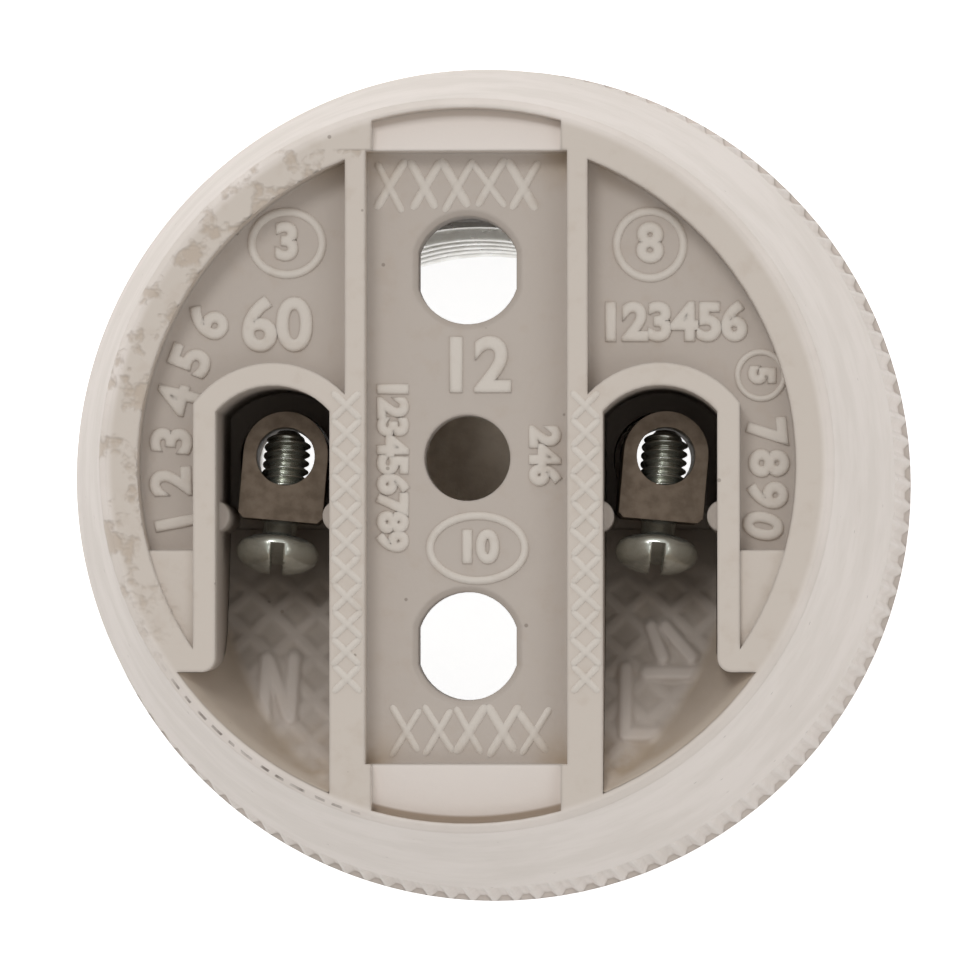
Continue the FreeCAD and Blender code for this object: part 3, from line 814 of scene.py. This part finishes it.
def make_screw(side, sign):
    """M2.5 screw: cut thread, plain neck, domed head with a straight slot."""
    turn = screw_matrix(sign)
    points = [turn @ p for p in screw_points()]
    piece = make_piece("screw_detail_" + side, points, screw_faces(len(points)), SCREW_METAL,
                       "screw_" + side)
    cut_slot(piece, turn)
    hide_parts("screw_" + side)


def cut_slot(piece, turn):
    """The driver slot stands upright in the well, across the head."""
    xs = (-SLOT_HALF, SLOT_HALF)
    ys = (-SLOT_REACH, SLOT_REACH)
    corners = box_points(xs, ys, (SLOT_OUT_Z, SLOT_FLOOR_Z))
    mesh = bpy.data.meshes.new("slot_tool")
    mesh.from_pydata([tuple(turn @ Vector(p) * MM) for p in corners], [], BOX_FACES)
    tool = bpy.data.objects.new("slot_tool", mesh)
    bpy.context.scene.collection.objects.link(tool)
    cut = piece.modifiers.new("slot", "BOOLEAN")
    cut.operation = "DIFFERENCE"
    cut.solver = "EXACT"
    cut.object = tool
    bpy.context.view_layer.update()
    ready = piece.evaluated_get(bpy.context.evaluated_depsgraph_get())
    mesh = bpy.data.meshes.new_from_object(ready)
    piece.modifiers.clear()
    piece.data = mesh
    bpy.data.objects.remove(tool)


make_screw("n", -1)
make_screw("l", 1)

# ------------------------------------------------------------------ screw shell
SHELL_AROUND = 144
SHELL_ROWS = 110
THREAD_PITCH = 3.629
MEAN_R = 12.80
WAVE = 0.54
WAVE_START = 0.8                # plain sheet at both ends
WAVE_FADE = 1.3
SHEET = 0.30
LIP_Z = 6.9
LIP_R = 0.42
LIP_STEPS = 16
LEDGE_Z = 27.6
FLANGE_Z = LEDGE_Z - 0.45       # underside of the flange
FLANGE_R = 14.2
FLANGE_ROUND = 0.04
FLANGE_TOP = LEDGE_Z - 0.004    # just clear of the ledge
FLANGE_TOP_ROUND = 0.02
INNER_ROUND = 0.05
SHARP_ANGLE = math.radians(50)

STRIP_HALF = 2.5
STRIP_TAB_X = (-13.1, -12.15)
STRIP_LEG_X = (-12.6, -12.15)
STRIP_LUG_X = (-12.6, -6.95)
STRIP_LUG_Z = (32.0, 32.5)
STRIP_HOLE_R = 2.1
HOLE_AROUND = 64
TINY = 1e-6


def wave(z):
    """Depth of the round thread at that height."""
    up = (z - LIP_Z - WAVE_START) / WAVE_FADE
    down = (FLANGE_Z - WAVE_START - z) / WAVE_FADE
    return WAVE * smooth(clamp(min(up, down)))


def shell_profile():
    """Outer wall, flange, inner wall and rolled lip, as radius and height."""
    start = math.asin(SHEET / 2 / LIP_R)
    low = LIP_Z + LIP_R * math.cos(start)
    heights = [low + (FLANGE_Z - low) * i / SHELL_ROWS for i in range(SHELL_ROWS + 1)]
    rows = [(MEAN_R + SHEET, z) for z in heights]
    rows += [
        (FLANGE_R - FLANGE_ROUND, FLANGE_Z), (FLANGE_R, FLANGE_Z + FLANGE_ROUND),
        (FLANGE_R, LEDGE_Z - FLANGE_TOP_ROUND), (FLANGE_R - FLANGE_ROUND, FLANGE_TOP),
        (MEAN_R + INNER_ROUND, FLANGE_TOP), (MEAN_R, LEDGE_Z - INNER_ROUND),
    ]
    rows += [(MEAN_R, z) for z in reversed(heights)]
    for i in range(1, LIP_STEPS):
        t = start + (TURN - 2 * start) * i / LIP_STEPS
        rows.append((MEAN_R + SHEET / 2 - LIP_R * math.sin(t), LIP_Z + LIP_R * math.cos(t)))
    return rows


def add_box(points, faces, xs, ys, zs):
    start = len(points)
    points.extend(box_points(xs, ys, zs))
    faces.extend(tuple(start + k for k in face) for face in BOX_FACES)


def lug_plate(points, faces, xs, zs, hole_r):
    """Flat plate with a round hole under the terminal."""
    start = len(points)
    for i in range(HOLE_AROUND):
        a = TURN * i / HOLE_AROUND
        dx = math.cos(a)
        dy = math.sin(a)
        side = (xs[1] + TERM_X) if dx > 0 else (-TERM_X - xs[0])
        reach = min(side / max(abs(dx), TINY), STRIP_HALF / max(abs(dy), TINY))
        for r in (hole_r, reach):
            for z in zs:
                points.append((-TERM_X + r * dx, TERM_Y + r * dy, z))
    for i in range(HOLE_AROUND):
        p = start + 4 * i
        q = start + 4 * ((i + 1) % HOLE_AROUND)
        faces.extend([(p, q, q + 2, p + 2), (p + 3, q + 3, q + 1, p + 1)])
        faces.extend([(p + 1, q + 1, q, p), (p + 2, q + 2, q + 3, p + 3)])


def make_shell():
    """Rolled nickel-plated sheet: round thread, flange, and the strip to the neutral terminal."""
    rows = shell_profile()
    n = len(rows)
    points = []
    faces = []
    for i in range(SHELL_AROUND):
        a = TURN * i / SHELL_AROUND
        for r, z in rows:
            radius = r + wave(z) * math.cos(TURN * z / THREAD_PITCH - a)
            points.append((radius * math.cos(a), radius * math.sin(a), z))
    for i in range(SHELL_AROUND):
        here = i * n
        there = (i + 1) % SHELL_AROUND * n
        for j in range(n):
            k = (j + 1) % n
            faces.append((here + j, there + j, there + k, here + k))
    strip_y = (TERM_Y - STRIP_HALF, TERM_Y + STRIP_HALF)
    add_box(points, faces, STRIP_TAB_X, strip_y, (FLANGE_Z, FLANGE_TOP))
    add_box(points, faces, STRIP_LEG_X, strip_y, (FLANGE_Z, STRIP_LUG_Z[1]))
    lug_plate(points, faces, STRIP_LUG_X, STRIP_LUG_Z, STRIP_HOLE_R)
    piece = make_piece("screw_shell_detail", points, faces, SHELL_METAL, "holder")
    piece.data.set_sharp_from_angle(angle=SHARP_ANGLE)
    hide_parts("screw_shell")


make_shell()

# ------------------------------------------------------------------ floor and light
# These places and sizes are metres, the lamps' powers watts.
FLOOR_HALF = 1.2
FLOOR_GAP = 0.00002
FLOOR_GREY = (0.8, 0.8, 0.8)
FLOOR_GLOW = 0.89
WORLD_COLOUR = (1.0, 0.99, 0.975, 1.0)
WORLD_STRENGTH = 0.56
# name, place, diameter, power
LAMPS = (
    ("key", (-0.16, 0.36, 0.66), 0.25, 1.25),
    ("fill", (0.35, -0.25, 0.55), 0.4, 0.4),
    ("left", (-0.6, 0.1, 0.13), 0.3, 0.35),
    ("right", (0.6, 0.0, 0.13), 0.3, 0.3),
    ("above", (0.0, 0.6, 0.13), 0.3, 0.4),
    ("below", (0.0, -0.6, 0.13), 0.3, 0.15),
)


def floor_material():
    """White where seen, yet it keeps the object's soft shadow."""
    s = Shader("floor")
    path = s.add("ShaderNodeLightPath")
    seen = s.math("MAXIMUM", path.outputs["Is Camera Ray"], path.outputs["Is Glossy Ray"])
    seen = s.math("MAXIMUM", seen, path.outputs["Is Transmission Ray"])
    diffuse = s.add("ShaderNodeBsdfDiffuse", {"Color": FLOOR_GREY})
    glow = s.add("ShaderNodeEmission", {"Color": (1, 1, 1), "Strength": FLOOR_GLOW})
    both = s.add("ShaderNodeAddShader")
    s.tree.links.new(diffuse.outputs[0], both.inputs[0])
    s.tree.links.new(glow.outputs[0], both.inputs[1])
    pick = s.add("ShaderNodeMixShader", {"Fac": seen})
    s.tree.links.new(diffuse.outputs[0], pick.inputs[1])
    s.tree.links.new(both.outputs[0], pick.inputs[2])
    return s.finish(pick.outputs[0])


def make_floor():
    half = FLOOR_HALF
    corners = [(-half, -half, 0), (half, -half, 0), (half, half, 0), (-half, half, 0)]
    mesh = bpy.data.meshes.new("floor")
    mesh.from_pydata(corners, [], [(0, 1, 2, 3)])
    mesh.materials.append(floor_material())
    floor = bpy.data.objects.new("floor", mesh)
    floor.location.z = cad_bounds[0].z - FLOOR_GAP
    bpy.context.scene.collection.objects.link(floor)


def area_light(name, at, size, power):
    data = bpy.data.lights.new(name, "AREA")
    data.shape = "DISK"
    data.size = size
    data.energy = power
    lamp = bpy.data.objects.new(name, data)
    lamp.location = at
    aim = Vector((0, 0, HEIGHT * MM))
    lamp.rotation_euler = (Vector(at) - aim).to_track_quat("Z", "Y").to_euler()
    bpy.context.scene.collection.objects.link(lamp)


def make_light():
    world = bpy.data.worlds.new("world")
    world.use_nodes = True
    background = world.node_tree.nodes["Background"]
    background.inputs["Color"].default_value = WORLD_COLOUR
    background.inputs["Strength"].default_value = WORLD_STRENGTH
    bpy.context.scene.world = world
    for lamp in LAMPS:
        area_light(*lamp)


make_floor()
make_light()
bpy.context.scene.view_settings.view_transform = "Standard"
